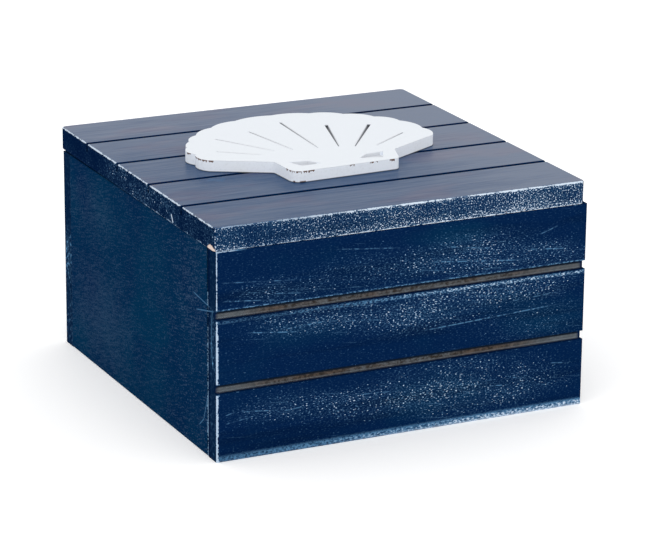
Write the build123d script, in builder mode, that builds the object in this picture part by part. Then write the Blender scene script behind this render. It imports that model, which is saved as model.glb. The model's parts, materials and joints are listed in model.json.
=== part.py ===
from build123d import *
import os
from math import atan, atan2, cos, degrees, radians, sin, sqrt, tan

# A square wooden box with a hinged, plank-grooved lid that carries a flat scallop shell.
# Millimetres, +Z up, front towards -Y. The origin is on the table, in the middle of the
# footprint from the front board to the back of the hinge knuckles.

os.makedirs("parts", exist_ok=True)

# Carcass
body_width = 150.0
body_depth = 148.2
body_height = 78.8
board_thickness = 7.2  # front and back boards, which cover the ends of the sides
side_thickness = 7.2
bottom_thickness = 3.0
edge_radius = 0.5  # sanded outer edges of the boards

# Grooves that divide the front board into three planks
lower_plank = 25.9
middle_plank = 24.4
front_groove_height = 3.2
front_groove_depth = 2.4

# Lid, flush with the box at the front and back
lid_thickness = 8.8
lid_side_inset = 0.2  # the lid is narrower than the box by this much on each side
lid_shift = 1.0  # the lid is hung this much towards the left
lid_corner_radius = 2.0
lid_edge_radius = 0.5
lid_rest_gap = 0.05  # between the closed lid and the front board's upper edge
front_lid_plank = 29.4  # from the lid's front edge to the first groove's middle
back_lid_plank = 27.6
lid_groove_count = 4
lid_groove_width = 1.4
lid_groove_depth = 3.2

# Hinges: two small butt hinges, their leaves between the lid and the back board
hinge_inset = 32.0  # from each side of the box to the hinge's middle
leaf_length = 20.0
leaf_inset = 1.0  # from the back board's inner face to the leaf
leaf_thickness = 0.5
leaf_spacing = 0.1  # between the two closed leaves
pin_radius = 0.6
pin_head_radius = 0.95
pin_head_length = 0.4
pin_running_clearance = 0.05  # radial, in the lid's knuckle
knuckle_wall = 0.5
outer_knuckle_length = 6.0
knuckle_gap = 0.3  # between neighbouring knuckles
knuckle_clearance = 0.2  # between a knuckle and the boards' back faces

# Hinge screws: countersunk and slotted
screw_radius = 0.8
screw_head_radius = 1.3
screw_head_angle = 90.0
screw_cover = 2.5  # wood left over the screw holes in the lid
screw_tip_length = 1.2
screw_slot_width = 0.4
screw_slot_depth = 0.25
screw_fit = 0.02  # radial, in the leaves and the boards
screw_spacing = 12.0
screw_hole_rest = 0.3  # left free beyond a screw's tip

# Shell ornament. Its rim follows a circle, with its dips seen from a focus below that circle's
# middle. Places are measured from the middle of the rim circle.
shell_thickness = 4.4
shell_offset_x = -1.7  # from the lid's middle to the rim circle's middle
shell_offset_y = -9.4
fan_turn = -2.0  # the fan leans to the right by this angle
rim_radius = 51.0  # through the dips between the lobes
focus_distance = 20.6
dip_angles = (-50.0, -42.4, -34.4, -24.1, -13.0, 0.2, 12.7, 23.4, 33.8, 43.3)  # on the circle
lobe_bulges = (2.1, 2.0, 0.9, 1.3, 1.5, 1.6, 1.6, 1.6, 1.8, 1.9, 1.9, 1.8, 1.8)  # from the left
left_last_dip = (-47.5, 9.5)  # the last lobes end inside the circle
right_last_dip = (47.6, 13.1)
left_wing_tip = (-45.4, -0.4)
right_wing_tip = (46.5, 1.9)
left_wing_root = (-19.0, -13.4)  # under the ear, as the right one
right_wing_root = (19.0, -14.2)
left_ear_root = (-24.8, -8.0)
left_ear_foot = (-23.8, -25.4)
right_ear_foot = (20.3, -23.5)
right_ear_root = (25.3, -9.0)
left_ear_radius = 4.0
right_ear_radius = 2.2
notch_radius = 2.0

# Rays cut into the shell with a V bit: outer end, inner end and width at the outer end
rays = (
    ((-39.0, 10.2), (-24.9, -0.1), 0.8),
    ((-32.8, 26.5), (-18.3, 3.1), 0.9),
    ((-16.9, 31.9), (-11.2, 2.3), 0.9),
    ((-0.5, 40.0), (-1.4, 1.0), 1.1),
    ((14.7, 30.2), (6.7, 0.1), 1.5),
    ((30.6, 25.2), (12.4, -1.9), 1.5),
    ((37.5, 9.3), (20.6, -3.5), 0.9),
)
ray_inner_width = 0.5
ray_depth_share = 1.0  # of its width
ray_lift = 0.2  # the cutter stands this far above the shell

# Recesses in the two ears
left_recess = ((-20.1, -12.3), (-12.7, -13.4), (-9.1, -18.3), (-17.4, -18.9))
right_recess = ((6.7, -17.6), (11.6, -13.3), (18.8, -12.8), (15.4, -19.8))
recess_depth = 1.3

# Places worked out from the sizes above
hinge_gap = 2 * leaf_thickness + leaf_spacing
knuckle_radius = pin_radius + knuckle_wall
pin_offset = knuckle_radius + knuckle_clearance
front_y = -(body_depth + pin_offset + knuckle_radius) / 2
back_y = front_y + body_depth
pin_y = back_y + pin_offset
pin_z = body_height + hinge_gap / 2
hinge_x = body_width / 2 - hinge_inset
lid_tilt = degrees(atan((hinge_gap - lid_rest_gap) / (body_depth + pin_offset)))

# The lid lies on the front board and on the hinge leaves, so it slopes a little to the front.
# Its pieces are drawn in its own plane, which has its origin on the pins' axis.
lid_plane = Plane(
    origin=(0, pin_y, pin_z),
    x_dir=(1, 0, 0),
    z_dir=(0, -sin(radians(lid_tilt)), cos(radians(lid_tilt))),
)
lid_up = Axis(lid_plane.origin, lid_plane.z_dir)
lid_width = body_width - 2 * lid_side_inset
lid_back = -pin_offset
lid_front = lid_back - body_depth
lid_middle = (-lid_shift, (lid_front + lid_back) / 2)
lid_under = hinge_gap / 2
lid_top = lid_under + lid_thickness
lid_groove_pitch = (body_depth - front_lid_plank - back_lid_plank) / (lid_groove_count - 1)

# Screws go in from the inner face of each leaf, in line with the middle of the back board
leaf_width = board_thickness - leaf_inset
screw_length = leaf_thickness + lid_thickness - screw_cover - screw_hole_rest
screw_y = -pin_offset - board_thickness / 2
screw_places = [(-screw_spacing / 2, screw_y), (screw_spacing / 2, screw_y)]


def leaf_face(x, on_lid):
    """The plane of a closed leaf's inner face, which looks at the other leaf."""
    if on_lid:
        middle = lid_plane.from_local_coords((x, 0, leaf_spacing / 2))
        return Plane(origin=middle, x_dir=(-1, 0, 0), z_dir=-lid_plane.z_dir)
    return Plane(origin=(x, pin_y, pin_z - leaf_spacing / 2), x_dir=(1, 0, 0), z_dir=(0, 0, 1))


def screw_spots(on_lid):
    """The places of the screws' head faces, on both hinges."""
    faces = [leaf_face(-hinge_x, on_lid), leaf_face(hinge_x, on_lid)]
    return [face.location * Location((x, y, 0)) for face in faces for x, y in screw_places]


# Front board
with BuildPart() as front_board:
    with BuildSketch(Plane.YZ):
        with Locations((front_y, 0)):
            Rectangle(board_thickness, body_height, align=(Align.MIN, Align.MIN))
        first_groove_z = lower_plank
        second_groove_z = lower_plank + front_groove_height + middle_plank
        with Locations((front_y, first_groove_z), (front_y, second_groove_z)):
            Rectangle(
                front_groove_depth,
                front_groove_height,
                align=(Align.MIN, Align.MIN),
                mode=Mode.SUBTRACT,
            )
    extrude(amount=body_width / 2, both=True)
    plank_faces = front_board.faces().group_by(Axis.Y)[0]
    fillet(plank_faces.edges(), radius=edge_radius)
front_board.part.label = "front_board"
export_step(front_board.part, "parts/front_board.step")

# Back board, with holes in its upper edge for the hinge screws
with BuildPart() as back_board:
    with BuildSketch(Plane.YZ):
        with Locations((back_y, 0)):
            Rectangle(board_thickness, body_height, align=(Align.MAX, Align.MIN))
    extrude(amount=body_width / 2, both=True)
    fillet(back_board.faces().sort_by(Axis.Y)[-1].edges(), radius=edge_radius)
    with Locations(*screw_spots(on_lid=False)):
        Hole(screw_radius + screw_fit, depth=screw_length + screw_hole_rest)
back_board.part.label = "back_board"
export_step(back_board.part, "parts/back_board.step")


def side_board(side):
    """A side board between the front and back boards; side is -1 on the left and 1 on the right."""
    with BuildPart() as board:
        with BuildSketch(Plane.XY):
            with Locations((side * (body_width - side_thickness) / 2, (front_y + back_y) / 2)):
                Rectangle(side_thickness, body_depth - 2 * board_thickness)
        extrude(amount=body_height)
        outer_face = board.faces().sort_by(Axis.X)[-1 if side > 0 else 0]
        fillet(outer_face.edges().filter_by(Axis.Y), radius=edge_radius)
    return board


left_side_board = side_board(-1)
left_side_board.part.label = "left_side_board"
export_step(left_side_board.part, "parts/left_side_board.step")

right_side_board = side_board(1)
right_side_board.part.label = "right_side_board"
export_step(right_side_board.part, "parts/right_side_board.step")

# Bottom panel, glued in between the four boards
with BuildPart() as bottom_panel:
    with BuildSketch(Plane.XY):
        with Locations((0, (front_y + back_y) / 2)):
            Rectangle(body_width - 2 * side_thickness, body_depth - 2 * board_thickness)
    extrude(amount=bottom_thickness)
bottom_panel.part.label = "bottom_panel"
export_step(bottom_panel.part, "parts/bottom_panel.step")

# Lid board
with BuildPart() as lid_board:
    with BuildSketch(lid_plane.offset(lid_under)):
        with Locations(lid_middle):
            RectangleRounded(lid_width, body_depth, lid_corner_radius)
    extrude(amount=lid_thickness)
    with BuildSketch(lid_plane.offset(lid_top)):
        for groove in range(lid_groove_count):
            groove_y = lid_front + front_lid_plank + groove * lid_groove_pitch
            with Locations((lid_middle[0], groove_y)):
                Rectangle(lid_width, lid_groove_width)
    extrude(amount=-lid_groove_depth, mode=Mode.SUBTRACT)
    level_faces = lid_board.faces().filter_by(lid_plane)
    plank_tops = level_faces.group_by(lid_up)[-1]
    underside = level_faces.group_by(lid_up)[0]
    fillet(plank_tops.edges() + underside.edges(), radius=lid_edge_radius)
    with Locations(*screw_spots(on_lid=True)):
        Hole(screw_radius + screw_fit, depth=screw_length + screw_hole_rest)
lid_board.part.label = "lid_board"
export_step(lid_board.part, "parts/lid_board.step")

# Shell ornament, glued on the lid
shell_middle = lid_plane.from_local_coords(
    (lid_middle[0] + shell_offset_x, lid_middle[1] + shell_offset_y, lid_top)
)
shell_plane = Plane(origin=shell_middle, x_dir=lid_plane.x_dir, z_dir=lid_plane.z_dir)
fan_plane = Plane(shell_plane.location * Rotation(0, 0, fan_turn))


def rim_point(angle):
    """The point of the rim circle seen from the focus at this angle to the fan's axis, to the right."""
    across = sin(radians(angle))
    along = cos(radians(angle))
    reach = focus_distance * along + sqrt(rim_radius**2 - (focus_distance * across) ** 2)
    return (reach * across, reach * along - focus_distance)


def shell_corner(point):
    """A corner of the shell's outline, half way up its edge."""
    return shell_plane.from_local_coords((*point, shell_thickness / 2))


with BuildPart() as shell_ornament:
    rim = [left_wing_tip, left_last_dip]
    rim += [rim_point(angle) for angle in dip_angles]
    rim += [right_last_dip, right_wing_tip]
    with BuildSketch(fan_plane):
        with BuildLine():
            for dip, next_dip, bulge in zip(rim, rim[1:], lobe_bulges):
                SagittaArc(dip, next_dip, bulge)
            Polyline(right_wing_tip, right_wing_root, left_wing_root, left_wing_tip)
        make_face()
    extrude(amount=shell_thickness)
    with BuildSketch(shell_plane):
        with BuildLine():
            Polyline(left_ear_root, left_ear_foot, right_ear_foot, right_ear_root, close=True)
        make_face()
    extrude(amount=shell_thickness)
    upright_edges = shell_ornament.edges().filter_by(lid_up)
    fillet(upright_edges.sort_by_distance(shell_corner(left_ear_foot))[0], radius=left_ear_radius)
    upright_edges = shell_ornament.edges().filter_by(lid_up)
    fillet(upright_edges.sort_by_distance(shell_corner(right_ear_foot))[0], radius=right_ear_radius)
    for ear_root in (left_ear_root, right_ear_root):
        upright_edges = shell_ornament.edges().filter_by(lid_up)
        fillet(upright_edges.sort_by_distance(shell_corner(ear_root))[0], radius=notch_radius)
    for outer_end, inner_end, outer_width in rays:
        lean = degrees(atan2(outer_end[0] - inner_end[0], outer_end[1] - inner_end[1]))
        for end, width in ((inner_end, ray_inner_width), (outer_end, outer_width)):
            at_end = Location((*end, shell_thickness)) * Rotation(0, 0, -lean)
            ray_plane = Plane(fan_plane.location * at_end)
            depth = ray_depth_share * width
            with BuildSketch(Plane(ray_plane.origin, x_dir=ray_plane.x_dir, z_dir=-ray_plane.y_dir)):
                with BuildLine():
                    Polyline(
                        (-width / 2, ray_lift),
                        (-width / 2, 0),
                        (0, -depth),
                        (width / 2, 0),
                        (width / 2, ray_lift),
                        close=True,
                    )
                make_face()
        loft(mode=Mode.SUBTRACT)
    for recess in (left_recess, right_recess):
        with BuildSketch(shell_plane.offset(shell_thickness)):
            with BuildLine():
                Polyline(*recess, close=True)
            make_face()
        extrude(amount=-recess_depth, mode=Mode.SUBTRACT)
shell_ornament.part.label = "shell_ornament"
export_step(shell_ornament.part, "parts/shell_ornament.step")


def hinge_leaf(x, on_lid):
    """One leaf of the hinge at x: a plate with its knuckles rolled round the pin."""
    face = leaf_face(x, on_lid)
    pin_section = Plane(
        origin=face.origin + face.z_dir * (leaf_spacing / 2), x_dir=face.y_dir, z_dir=face.x_dir
    )
    half_middle = leaf_length / 2 - outer_knuckle_length - knuckle_gap
    outer_spans = [(-leaf_length / 2, outer_knuckle_length - leaf_length / 2)]
    outer_spans.append((leaf_length / 2 - outer_knuckle_length, leaf_length / 2))
    middle_spans = [(-half_middle, half_middle)]
    own_spans = middle_spans if on_lid else outer_spans
    bore_radius = pin_radius + (pin_running_clearance if on_lid else 0)
    with BuildPart() as leaf:
        with BuildSketch(face):
            with Locations((0, -pin_offset)):
                Rectangle(leaf_length, leaf_width, align=(Align.CENTER, Align.MAX))
            for start, end in own_spans:
                with Locations(((start + end) / 2, 0)):
                    Rectangle(end - start, pin_offset, align=(Align.CENTER, Align.MAX))
        extrude(amount=-leaf_thickness)
        for start, end in own_spans:
            with BuildSketch(pin_section.offset(start)):
                Circle(knuckle_radius)
            extrude(amount=end - start)
        with BuildSketch(pin_section.offset(-leaf_length / 2)):
            Circle(bore_radius)
        extrude(amount=leaf_length, mode=Mode.SUBTRACT)
        with Locations(*[face.location * Location((px, py, 0)) for px, py in screw_places]):
            CounterSinkHole(
                screw_radius + screw_fit,
                screw_head_radius + screw_fit,
                counter_sink_angle=screw_head_angle,
            )
    return leaf


def hinge_pin(x):
    """The pin of the hinge at x, tight in the box leaf, with a head at each end."""
    with BuildPart() as pin:
        with BuildSketch(Plane.YZ.offset(x - leaf_length / 2)):
            with Locations((pin_y, pin_z)):
                Circle(pin_radius)
        extrude(amount=leaf_length)
        for end, direction in ((x - leaf_length / 2, -1), (x + leaf_length / 2, 1)):
            with BuildSketch(Plane.YZ.offset(end)):
                with Locations((pin_y, pin_z)):
                    Circle(pin_head_radius)
            extrude(amount=direction * pin_head_length)
    return pin


for side_name, x in (("left", -hinge_x), ("right", hinge_x)):
    box_leaf = hinge_leaf(x, on_lid=False)
    box_leaf.part.label = f"{side_name}_hinge_box_leaf"
    export_step(box_leaf.part, f"parts/{side_name}_hinge_box_leaf.step")
    lid_leaf = hinge_leaf(x, on_lid=True)
    lid_leaf.part.label = f"{side_name}_hinge_lid_leaf"
    export_step(lid_leaf.part, f"parts/{side_name}_hinge_lid_leaf.step")
    pin = hinge_pin(x)
    pin.part.label = f"{side_name}_hinge_pin"
    export_step(pin.part, f"parts/{side_name}_hinge_pin.step")

# Hinge screws, drawn once with the head's face on the XY plane
with BuildPart() as hinge_screw:
    head_height = (screw_head_radius - screw_radius) / tan(radians(screw_head_angle / 2))
    with BuildSketch(Plane.XZ):
        with BuildLine():
            Polyline(
                (0, 0),
                (screw_head_radius, 0),
                (screw_radius, -head_height),
                (screw_radius, screw_tip_length - screw_length),
                (0, -screw_length),
                close=True,
            )
        make_face()
    revolve(axis=Axis.Z)
    with BuildSketch(Plane.XY):
        Rectangle(2 * screw_head_radius, screw_slot_width)
    extrude(amount=-screw_slot_depth, mode=Mode.SUBTRACT)

with BuildPart() as box_hinge_screws:
    with Locations(*screw_spots(on_lid=False)):
        add(hinge_screw.part)
box_hinge_screws.part.label = "box_hinge_screws"
export_step(box_hinge_screws.part, "parts/box_hinge_screws.step")

with BuildPart() as lid_hinge_screws:
    with Locations(*screw_spots(on_lid=True)):
        add(hinge_screw.part)
lid_hinge_screws.part.label = "lid_hinge_screws"
export_step(lid_hinge_screws.part, "parts/lid_hinge_screws.step")
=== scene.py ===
import json
import math

import bpy
from mathutils import Matrix, Quaternion, Vector


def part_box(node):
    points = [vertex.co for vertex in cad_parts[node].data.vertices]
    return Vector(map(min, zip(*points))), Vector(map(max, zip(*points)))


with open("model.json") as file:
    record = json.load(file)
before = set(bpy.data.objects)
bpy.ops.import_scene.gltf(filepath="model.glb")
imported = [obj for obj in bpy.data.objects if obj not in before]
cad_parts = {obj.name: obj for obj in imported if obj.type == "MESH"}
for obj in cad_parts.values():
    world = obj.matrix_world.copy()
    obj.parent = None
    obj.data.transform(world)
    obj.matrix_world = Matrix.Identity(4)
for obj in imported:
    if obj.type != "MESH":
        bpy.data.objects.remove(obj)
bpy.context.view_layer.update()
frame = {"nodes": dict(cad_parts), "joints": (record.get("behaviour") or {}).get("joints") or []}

# A square wooden box painted navy over a white undercoat, with a white scallop shell on its lid.
# Metres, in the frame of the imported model: X to the right, Y to the hinges, Z up.

MM = 0.001

# Places on the boards
front_low, front_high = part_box("front_board")
back_low, back_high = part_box("back_board")
left_low, left_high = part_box("left_side_board")
right_low, right_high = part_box("right_side_board")
hinge_line = Vector(frame["joints"][0]["pos_m"])
front_groove_depth = 2.4 * MM
front_grooves = ((25.9 * MM, 29.1 * MM), (53.5 * MM, 56.7 * MM))  # heights of the two saw cuts
lid_slope = math.atan(1.05 / 149.5)  # the closed lid leans this much to the front
lid_groove_width = 1.4 * MM
lid_groove_depth = 3.2 * MM
front_lid_plank = 29.4 * MM  # to the middle of the first saw cut
back_lid_plank = 27.6 * MM
lid_groove_count = 4
shell_thickness = 4.4 * MM
shell_offset = (-1.7 * MM, -9.4 * MM)  # from the lid's middle to the middle of the shell's rim

# Paint and wood, in linear light
NAVY = (0.0007, 0.0112, 0.0505, 1.0)
TEAL_NAVY = (0.0010, 0.0235, 0.0640, 1.0)
# Deep navy: darker grain lines, and painted shade in the lid's saw cuts and at the front board's
# end joint
DEEP_NAVY = (0.0004, 0.0060, 0.0290, 1.0)
END_NAVY = (0.0010, 0.0100, 0.0370, 1.0)
# The lid top's two navies are lighter than the other faces' navy: painted light falling on the top
LID_TOP_PAINTED_LIGHT_NAVY = (0.0080, 0.0490, 0.1380, 1.0)
PLUM_NAVY = (0.0300, 0.0460, 0.1250, 1.0)
# Painted shade, for the joint between the boards and the foot of the shell
PAINTED_GAP_SHADE = (0.0006, 0.0030, 0.0100, 1.0)
WHITE_UNDERCOAT = (0.60, 0.69, 0.80, 1.0)
THIN_COAT = (0.114, 0.290, 0.500, 1.0)  # where a little navy is left on the undercoat
GREY_HAZE = (0.190, 0.290, 0.430, 1.0)
PALE_WOOD = (0.74, 0.60, 0.52, 1.0)
SAWN_WOOD = (0.128, 0.140, 0.152, 1.0)
BROWN_SAWN_WOOD = (0.120, 0.082, 0.060, 1.0)
PALE_SAWN_WOOD = (0.150, 0.180, 0.205, 1.0)
DARK_SAWN_WOOD = (0.040, 0.034, 0.030, 1.0)
GROOVE_SHADOW = (0.008, 0.015, 0.028, 1.0)
SHELL_WHITE = (0.765, 0.80, 0.845, 1.0)
# Lighter white for the shell's walls: painted light
SHELL_WALL_PAINTED_LIGHT = (0.89, 0.93, 0.985, 1.0)
# Grey, for painted shade in the shell's recesses and beside its rays, and for dust on its walls
SHELL_GREY = (0.60, 0.61, 0.64, 1.0)
RAY_SHADE_AND_DIRT = (0.050, 0.055, 0.070, 1.0)
CHIPPED_BROWN = (0.16, 0.095, 0.075, 1.0)
PLY_LIGHT = (0.45, 0.33, 0.22, 1.0)
PLY_DARK = (0.30, 0.20, 0.125, 1.0)
BRASS = (0.60, 0.43, 0.20, 1.0)
DULL_BRASS = (0.26, 0.17, 0.085, 1.0)
FLOOR_WHITE = (0.95, 0.95, 0.95, 1.0)
LIGHT_WHITE = (1.0, 1.0, 1.0, 1.0)

# Lines of the grain per metre along X, Y and Z
BOARD_GRAIN = {"Fine_Lines": (50.0, 900.0, 900.0), "Broad_Lines": (12.0, 170.0, 170.0)}
BOTTOM_GRAIN = {"Fine_Lines": (50.0, 900.0, 900.0), "Broad_Lines": (10.0, 120.0, 120.0)}
LID_GRAIN = {"Fine_Lines": (55.0, 820.0, 900.0), "Broad_Lines": (14.0, 150.0, 150.0)}
SIDE_GRAIN = {"Fine_Lines": (900.0, 900.0, 60.0), "Broad_Lines": (110.0, 110.0, 18.0)}
SHELL_GRAIN = {"Fine_Lines": (900.0, 900.0, 900.0), "Broad_Lines": (120.0, 120.0, 120.0)}

# Grains of the speckle per metre along X, Y and Z
BOARD_GRAINS = (950.0, 1300.0, 2000.0)
FRONT_GRAINS = (1100.0, 1300.0, 2400.0)
LID_FRONT_GRAINS = (1900.0, 1900.0, 1900.0)
LID_SIDE_GRAINS = (1500.0, 1000.0, 2100.0)

# Surfaces
MATT = 0.6  # roughness
SATIN = 0.45
GRAIN_DULLS = 0.14  # how much rougher the grain's lines are
WEAR_DULLS = 0.25  # how much rougher a worn place is
DIP_DEPTH = 0.7  # of worn places, as a share of the relief
PAINT_RELIEF = 0.05 * MM
SHELL_RELIEF = 0.04 * MM
METAL_RELIEF = 0.02 * MM

# Directions of the sanding
clouds_lean = math.radians(-4.0)
sanding_angle = math.radians(-7.0)
side_stroke_angle = math.radians(12.0)

ENDLESS = 1000.0  # a patch's half size along a direction that doesn't matter


class Tree:
    """A node tree, with short calls that add its nodes and join them."""

    def __init__(self, tree):
        self.nodes = tree.nodes
        self.links = tree.links

    def feed(self, socket, value):
        if isinstance(value, bpy.types.NodeSocket):
            self.links.new(value, socket)
        else:
            socket.default_value = value

    def add(self, kind, inputs, **settings):
        node = self.nodes.new("ShaderNode" + kind)
        for name, value in settings.items():
            setattr(node, name, value)
        for name, value in inputs.items():
            self.feed(node.inputs[name], value)
        return node

    def math(self, operation, *values):
        node = self.add("Math", dict(enumerate(values)), operation=operation)
        return node.outputs[0]

    def chain(self, operation, values):
        """Joins values one after the other by the same operation."""
        result = values[0]
        for value in values[1:]:
            result = self.math(operation, result, value)
        return result

    def all_of(self, *masks):
        return self.chain("MULTIPLY", masks)

    def any_of(self, *masks):
        return self.chain("MAXIMUM", masks)

    def total(self, *values):
        return self.chain("ADD", values)

    def least(self, *values):
        return self.chain("MINIMUM", values)

    def scaled(self, value, factor):
        return self.math("MULTIPLY", value, factor)

    def minus(self, first, second):
        return self.math("SUBTRACT", first, second)

    def swing(self, noise):
        """How far a noise lies from its middle."""
        return self.minus(noise, 0.5)

    def linear(self, value, factor, start):
        """The value times a factor, plus a start."""
        return self.math("MULTIPLY_ADD", value, factor, start)

    def vector(self, operation, *values):
        node = self.add("VectorMath", dict(enumerate(values)), operation=operation)
        return node.outputs["Value" if operation in ("LENGTH", "DOT_PRODUCT") else "Vector"]

    def stretched(self, vector, factors):
        return self.vector("MULTIPLY", vector, factors)

    def times(self, vector, factor):
        node = self.add("VectorMath", {0: vector, "Scale": factor}, operation="SCALE")
        return node.outputs["Vector"]

    def counted(self, vector, size):
        """The vector, counted in this size."""
        return self.times(vector, self.math("DIVIDE", 1.0, size))

    def turned(self, vector, axis, angle, center=(0.0, 0.0, 0.0)):
        """The vector, turned about an axis that is named by its letter."""
        inputs = {"Vector": vector, "Center": center, "Angle": angle}
        return self.add("VectorRotate", inputs, rotation_type=axis + "_AXIS").outputs["Vector"]

    def split(self, vector):
        node = self.add("SeparateXYZ", {"Vector": vector})
        return node.outputs["X"], node.outputs["Y"], node.outputs["Z"]

    def join(self, x, y, z):
        return self.add("CombineXYZ", {"X": x, "Y": y, "Z": z}).outputs["Vector"]

    def smooth(self, value, start, end):
        """Rises softly from 0 to 1 as the value goes from start to end."""
        inputs = {"Value": value, "From Min": start, "From Max": end}
        return self.add("MapRange", inputs, interpolation_type="SMOOTHSTEP").outputs["Result"]

    def fade(self, way, start, end):
        """The same as a way goes from one length to another, both in millimetres."""
        return self.smooth(way, start * MM, end * MM)

    def scale(self, value, start, end, low, high):
        """Goes in a straight line from low to high as the value goes from start to end."""
        inputs = {"Value": value, "From Min": start, "From Max": end, "To Min": low, "To Max": high}
        return self.add("MapRange", inputs).outputs["Result"]

    def noise(self, place, detail=2.0, roughness=0.5, distortion=0.0):
        inputs = {"Vector": place, "Scale": 1.0, "Detail": detail, "Roughness": roughness}
        inputs["Distortion"] = distortion
        return self.add("TexNoise", inputs).outputs["Fac"]

    def mix(self, share, first, second):
        inputs = {0: share, 6: first, 7: second}
        return self.add("Mix", inputs, data_type="RGBA").outputs[2]

    def use(self, group, **inputs):
        """Places a node group; the words of an input's name are joined by underscores here."""
        node = self.nodes.new("ShaderNodeGroup")
        node.node_tree = group
        for name, value in inputs.items():
            self.feed(node.inputs[name.replace("_", " ")], value)
        return node.outputs


SOCKET_KINDS = {1: "NodeSocketFloat", 3: "NodeSocketVector", 4: "NodeSocketColor"}
NOWHERE = (0.0, 0.0, 0.0)  # what a group's place is until a material joins it


def shader_group(*outputs, **inputs):
    """Makes the function that follows a shader node group of its name. The function takes the
    group's tree and its inputs, in order, and gives its outputs. The words of an input's name
    are joined by underscores here."""
    def build(fill):
        group = bpy.data.node_groups.new(fill.__name__, "ShaderNodeTree")
        titles = [name.replace("_", " ") for name in inputs]
        for title, default in zip(titles, inputs.values()):
            kind = SOCKET_KINDS[len(default) if isinstance(default, tuple) else 1]
            socket = group.interface.new_socket(title, in_out="INPUT", socket_type=kind)
            socket.default_value = default
        for title in outputs:
            kind = SOCKET_KINDS[4 if title == "Color" else 1]
            group.interface.new_socket(title, in_out="OUTPUT", socket_type=kind)
        tree = Tree(group)
        given = group.nodes.new("NodeGroupInput").outputs
        result = group.nodes.new("NodeGroupOutput").inputs
        values = fill(tree, *[given[title] for title in titles])
        if len(outputs) == 1:
            values = (values,)
        for title, value in zip(outputs, values):
            tree.feed(result[title], value)
        return group

    return build


@shader_group("Value", First=0.0, Second=0.0, Third=0.0)
def middle_value(tree, first, second, third):
    """The middle one of three values: of the depths under a board's faces, the way to an edge."""
    inner = tree.least(tree.any_of(first, second), third)
    return tree.any_of(tree.least(first, second), inner)


@shader_group("Distance", Across=0.0, Start=0.0, End=1.0)
def saw_cut_distance(tree, across, start, end):
    """How far a point lies outside a saw cut, along the way across it; negative inside."""
    return tree.any_of(tree.minus(start, across), tree.minus(across, end))


@shader_group("Fine", "Broad", "Height", Place=NOWHERE, Fine_Lines=(60.0, 900.0, 900.0),
              Broad_Lines=(14.0, 170.0, 170.0))
def drawn_out_grain(tree, place, fine_lines, broad_lines):
    """Wood grain or brush lines drawn out along a board, fine and broad."""
    fine = tree.noise(tree.stretched(place, fine_lines), 3.0, 0.6)
    broad = tree.noise(tree.stretched(place, broad_lines), 3.0, 0.55, distortion=0.4)
    return fine, broad, tree.linear(broad, 0.6, fine)


def cover_level(tree, cover):
    """The level of a noise above which about this share of the surface lies."""
    return tree.linear(tree.math("SQRT", cover), -0.40, 0.77)


@shader_group("Mask", Place=NOWHERE, Size=0.5 * MM, Cover=0.2, Softness=0.06)
def rubbed_flecks(tree, place, size, cover, softness):
    """Small ragged flecks where the undercoat shows; cover is their share of the surface."""
    fleck = tree.noise(tree.counted(place, size), 1.5, 0.6)
    level = cover_level(tree, cover)
    return tree.smooth(fleck, level, tree.total(level, softness))


@shader_group("Mask", Place=NOWHERE, Grains=(1100.0, 1100.0, 1100.0), Amount=0.05, Contrast=10.0)
def fine_speckle(tree, place, grains, amount, contrast):
    """Fine speckle where sandpaper dulled the paint: most grains faint, a few strong."""
    grit = tree.noise(tree.stretched(place, grains), 1.5, 0.6)
    tone = tree.math("EXPONENT", tree.scaled(tree.swing(grit), contrast))
    return tree.least(tree.scaled(tone, amount), 1.0)


@shader_group("Mask", Place=NOWHERE, Middle=NOWHERE, Half_Size=(1.0, 1.0, 1.0))
def soft_patch(tree, place, middle, half_size):
    """A soft oval patch: 1 in its middle and 0 outside."""
    offset = tree.vector("SUBTRACT", place, middle)
    away = tree.vector("LENGTH", tree.vector("DIVIDE", offset, half_size))
    return tree.smooth(away, 1.3, 0.2)


@shader_group("Mask", Place=NOWHERE, Stroke=(60.0, 60.0, 1500.0), Cover=0.3, Break_Size=0.6 * MM)
def sanding_strokes(tree, place, stroke, cover, break_size):
    """Thin wavy broken strokes, as sandpaper leaves them where it crosses the paint."""
    wave = tree.swing(tree.noise(tree.times(place, 18.0), 1.0))
    shift = tree.join(0.0, 0.0, tree.scaled(wave, 3.0 * MM))
    drawn = tree.noise(tree.stretched(tree.vector("ADD", place, shift), stroke), 1.0, 0.5)
    level = cover_level(tree, cover)
    line = tree.smooth(drawn, level, tree.total(level, 0.07))
    breaks = tree.noise(tree.counted(place, break_size), 2.0, 0.6)
    return tree.scaled(line, tree.scale(breaks, 0.36, 0.60, 0.15, 1.0))


@shader_group("Mask", Place=NOWHERE, Distance=1.0, Width=0.4 * MM, Cover=0.7, Fray_Size=0.7 * MM)
def worn_edge(tree, place, distance, width, cover, fray_size):
    """A line rubbed through to the undercoat along an edge, ragged and with gaps."""
    grown = tree.counted(place, fray_size)
    fray = tree.noise(grown, 2.0, 0.6)
    patch = tree.noise(tree.times(grown, 0.13), 2.0, 0.5)
    wander = tree.linear(fray, 0.65, tree.scaled(patch, 0.6))
    level = tree.scale(cover, 0.0, 1.0, 0.95, 0.35)
    share = tree.scale(wander, level, tree.total(level, 0.25), 0.0, 1.35)
    reach = tree.any_of(tree.scaled(share, width), 0.01 * MM)
    line = tree.smooth(tree.math("DIVIDE", distance, reach), 1.1, 0.7)
    return tree.scaled(line, tree.smooth(share, 0.02, 0.2))


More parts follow.
